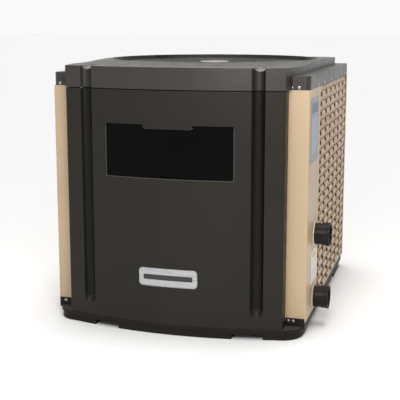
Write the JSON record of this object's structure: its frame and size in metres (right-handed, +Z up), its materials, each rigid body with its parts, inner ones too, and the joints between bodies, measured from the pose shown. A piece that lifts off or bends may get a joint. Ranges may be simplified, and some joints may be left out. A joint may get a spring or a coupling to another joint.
{
  "type": "pool heat pump",
  "caption": "Pool heat pump with a bowed dark front, flap-covered controls, louvred beige sides, a top fan under a wire guard and two water couplings on the right.",
  "frame": {"origin": "bottom centre of the unit's bounding box, on the ground under its feet", "axes": "+Z up, -Y the bowed front with the controls, +X the side with the water couplings"},
  "size_m": [0.8694, 0.9452, 0.8095],
  "materials": {
    "charcoal_plastic": "moulded, fine grain",
    "cover_plastic": "moulded, fine grain, weathered on top",
    "base_plastic": "moulded, dull",
    "beige_paint": "powder coat, satin",
    "guard_paint": "plastic coated wire, satin",
    "hub_plate_plastic": "moulded, satin",
    "black_plastic": "moulded, satin",
    "smoked_plastic": "polished, smoked",
    "cream_rubber": "matte",
    "black_rubber": "matte",
    "galvanised_steel": "zinc coated, spangled",
    "stainless_steel": "bright",
    "copper_pipe": "copper, lightly tarnished",
    "aluminium_fins": "plain fins",
    "compressor_enamel": "enamel, satin",
    "button_plastic": "moulded, satin",
    "circuit_board": "solder mask",
    "grey_plastic": "moulded, satin",
    "badge_enamel": "printed film, blank",
    "label_blue_grey": "printed film, blank",
    "label_white": "printed film, blank"
  },
  "bodies": {
    "cabinet": {"base_pan": "base_plastic", "cable_gland": "black_plastic", "coil_gas_line": "copper_pipe", "compressor": "compressor_enamel", "compressor_isolator": "black_rubber", "contactor": "black_plastic", "control_board": "circuit_board", "control_fascia": "charcoal_plastic", "control_housing": "black_plastic", "discharge_line": "copper_pipe", "display_module": "smoked_plastic", "electrical_box": "galvanised_steel", "electrical_box_cover": "galvanised_steel", "evaporator_coil": "aluminium_fins", "exchanger_gas_line": "copper_pipe", "expansion_line": "copper_pipe", "expansion_valve": "copper_pipe", "fan_guard": "guard_paint", "fan_motor": "galvanised_steel", "fan_shroud": "black_plastic", "filter_drier": "copper_pipe", "flap_hinge_pin": "stainless_steel", "front_panel": "charcoal_plastic", "guard_hub_plate": "hub_plate_plastic", "heat_exchanger": "grey_plastic", "label_lower": "label_white", "label_upper": "label_blue_grey", "liquid_line": "copper_pipe", "louvre_panel_back": "beige_paint", "louvre_panel_left": "beige_paint", "louvre_panel_right": "beige_paint", "motor_bracket": "galvanised_steel", "nameplate_blank": "badge_enamel", "partition_panel": "galvanised_steel", "post_front_left": "beige_paint", "post_front_right": "beige_paint", "post_rear_left": "beige_paint", "post_rear_right": "beige_paint", "reversing_valve": "copper_pipe", "run_capacitor": "stainless_steel", "suction_accumulator": "compressor_enamel", "suction_line": "copper_pipe", "terminal_block": "grey_plastic", "top_cover": "cover_plastic", "water_inlet_grommet": "cream_rubber", "water_inlet_sleeve": "black_plastic", "water_outlet_grommet": "cream_rubber", "water_outlet_sleeve": "black_plastic"},
    "fan": {"fan_rotor": "black_plastic", "motor_shaft": "stainless_steel"},
    "flap": {"control_flap": "smoked_plastic"},
    "button_1": {"button_1": "button_plastic"},
    "button_2": {"button_2": "button_plastic"},
    "button_3": {"button_3": "button_plastic"},
    "button_4": {"button_4": "button_plastic"},
    "inlet_nut": {"water_inlet_nut": "black_plastic"},
    "outlet_nut": {"water_outlet_nut": "black_plastic"},
    "armature": {"contactor_armature": "grey_plastic"}
  },
  "joints": [
    {"name": "fan_spin", "type": "hinge", "parent": "cabinet", "child": "fan", "pos_m": [-0.01435, 0.0486, 0.745], "axis": [0, 0, 1], "continuous": true},
    {"name": "flap_hinge", "type": "hinge", "parent": "cabinet", "child": "flap", "pos_m": [-0.01435, -0.4659, 0.629], "axis": [-1, 0, 0], "range_deg": [0, 110]},
    {"name": "button_1_press", "type": "slide", "parent": "cabinet", "child": "button_1", "axis": [0, 1, 0], "range_m": [0, 0.0015], "stiffness_N_per_m": 300},
    {"name": "button_2_press", "type": "slide", "parent": "cabinet", "child": "button_2", "axis": [0, 1, 0], "range_m": [0, 0.0015], "stiffness_N_per_m": 300},
    {"name": "button_3_press", "type": "slide", "parent": "cabinet", "child": "button_3", "axis": [0, 1, 0], "range_m": [0, 0.0015], "stiffness_N_per_m": 300},
    {"name": "button_4_press", "type": "slide", "parent": "cabinet", "child": "button_4", "axis": [0, 1, 0], "range_m": [0, 0.0015], "stiffness_N_per_m": 300},
    {"name": "inlet_nut_turn", "type": "hinge", "parent": "cabinet", "child": "inlet_nut", "pos_m": [0.42365, -0.2364, 0.088], "axis": [1, 0, 0], "continuous": true},
    {"name": "outlet_nut_turn", "type": "hinge", "parent": "cabinet", "child": "outlet_nut", "pos_m": [0.42365, -0.2364, 0.2875], "axis": [1, 0, 0], "continuous": true},
    {"name": "armature_pull_in", "type": "slide", "parent": "cabinet", "child": "armature", "axis": [0, 1, 0], "range_m": [0, 0.003], "stiffness_N_per_m": 400}
  ]
}
